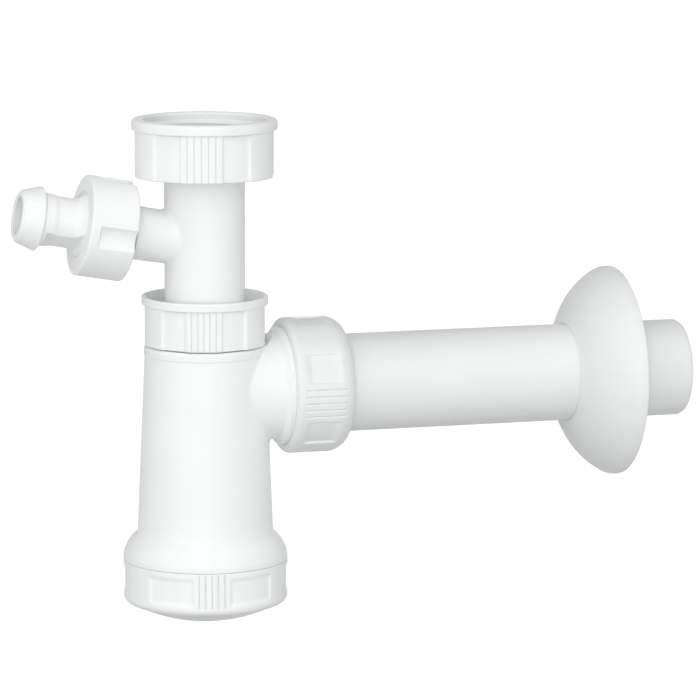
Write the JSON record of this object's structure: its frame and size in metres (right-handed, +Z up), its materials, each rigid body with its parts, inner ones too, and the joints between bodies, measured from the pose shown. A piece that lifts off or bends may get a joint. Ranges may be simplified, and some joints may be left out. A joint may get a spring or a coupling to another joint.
{
  "type": "sink trap",
  "caption": "Bottle trap for a sink with an inlet union nut, hose branch, screw cup, straight outlet pipe and wall rosette.",
  "frame": {"origin": "centre of the inlet thread's mouth, on the dip tube's axis", "axes": "+Z up along the dip tube, +X along the outlet pipe"},
  "size_m": [0.2827, 0.0868, 0.2047],
  "materials": {
    "body_white": "satin moulded polypropylene",
    "outlet_white": "satin moulded polypropylene",
    "seal_white": "soft polyethylene",
    "washer_grey": "matte rubber"
  },
  "bodies": {
    "inlet_tee": {"inlet_tee": "body_white", "inlet_gasket": "seal_white"},
    "inlet_nut": {"inlet_nut": "body_white"},
    "body_seal": {"body_seal": "seal_white"},
    "bottle": {"bottle": "body_white"},
    "body_slip_ring": {"body_slip_ring": "body_white"},
    "body_nut": {"body_nut": "body_white"},
    "cup_gasket": {"cup_gasket": "washer_grey"},
    "bottom_cup": {"bottom_cup": "body_white"},
    "outlet_seal": {"outlet_seal": "seal_white"},
    "outlet_pipe": {"outlet_pipe": "outlet_white"},
    "rosette": {"rosette": "outlet_white"},
    "outlet_slip_ring": {"outlet_slip_ring": "body_white"},
    "outlet_nut": {"outlet_nut": "outlet_white"},
    "hose_tail": {"hose_tail": "body_white", "hose_washer": "washer_grey"},
    "hose_nut": {"hose_nut": "body_white"}
  },
  "joints": [
    {"name": "inlet_nut_turn", "type": "hinge", "parent": "inlet_tee", "child": "inlet_nut", "pos_m": [0, 0, 0], "axis": [0, 0, 1], "continuous": true},
    {"name": "height_slide", "type": "slide", "parent": "inlet_tee", "child": "body_seal", "axis": [0, 0, 1], "range_m": [-0.035, 0.0035]},
    {"name": "bottle_swivel", "type": "hinge", "parent": "body_seal", "child": "bottle", "pos_m": [0, 0, 0], "axis": [0, 0, 1], "continuous": true},
    {"name": "body_nut_travel", "type": "slide", "parent": "bottle", "child": "body_slip_ring", "axis": [0, 0, 1], "range_m": [0, 0.00535]},
    {"name": "body_nut_turn", "type": "hinge", "parent": "body_slip_ring", "child": "body_nut", "pos_m": [0, 0, 0], "axis": [0, 0, 1], "range_deg": [0, 540]},
    {"name": "cup_travel", "type": "slide", "parent": "bottle", "child": "cup_gasket", "axis": [0, 0, -1], "range_m": [0, 0.0106]},
    {"name": "cup_turn", "type": "hinge", "parent": "cup_gasket", "child": "bottom_cup", "pos_m": [0, 0, 0], "axis": [0, 0, -1], "range_deg": [0, 1080]},
    {"name": "outlet_turn", "type": "hinge", "parent": "bottle", "child": "outlet_seal", "pos_m": [0, 0, -0.1065], "axis": [1, 0, 0], "continuous": true},
    {"name": "outlet_slide", "type": "slide", "parent": "outlet_seal", "child": "outlet_pipe", "axis": [1, 0, 0], "range_m": [0, 0.008]},
    {"name": "rosette_slide", "type": "slide", "parent": "outlet_pipe", "child": "rosette", "axis": [1, 0, 0], "range_m": [-0.085, 0.02]},
    {"name": "outlet_nut_travel", "type": "slide", "parent": "bottle", "child": "outlet_slip_ring", "axis": [1, 0, 0], "range_m": [0, 0.0071]},
    {"name": "outlet_nut_turn", "type": "hinge", "parent": "outlet_slip_ring", "child": "outlet_nut", "pos_m": [0, 0, -0.1065], "axis": [1, 0, 0], "range_deg": [0, 720]},
    {"name": "hose_tail_travel", "type": "slide", "parent": "inlet_tee", "child": "hose_tail", "axis": [-0.9848, 0, 0.1736], "range_m": [0, 0.00703]},
    {"name": "hose_nut_turn", "type": "hinge", "parent": "hose_tail", "child": "hose_nut", "pos_m": [0, 0, -0.0467], "axis": [-0.9848, 0, 0.1736], "range_deg": [0, 1080]}
  ],
  "couplings": [
    {"joint": "body_nut_travel", "follows": "body_nut_turn", "m_per_rad": 0.00055704},
    {"joint": "cup_travel", "follows": "cup_turn", "m_per_rad": 0.00055704},
    {"joint": "outlet_nut_travel", "follows": "outlet_nut_turn", "m_per_rad": 0.00055704},
    {"joint": "hose_tail_travel", "follows": "hose_nut_turn", "m_per_rad": 0.00036749}
  ]
}
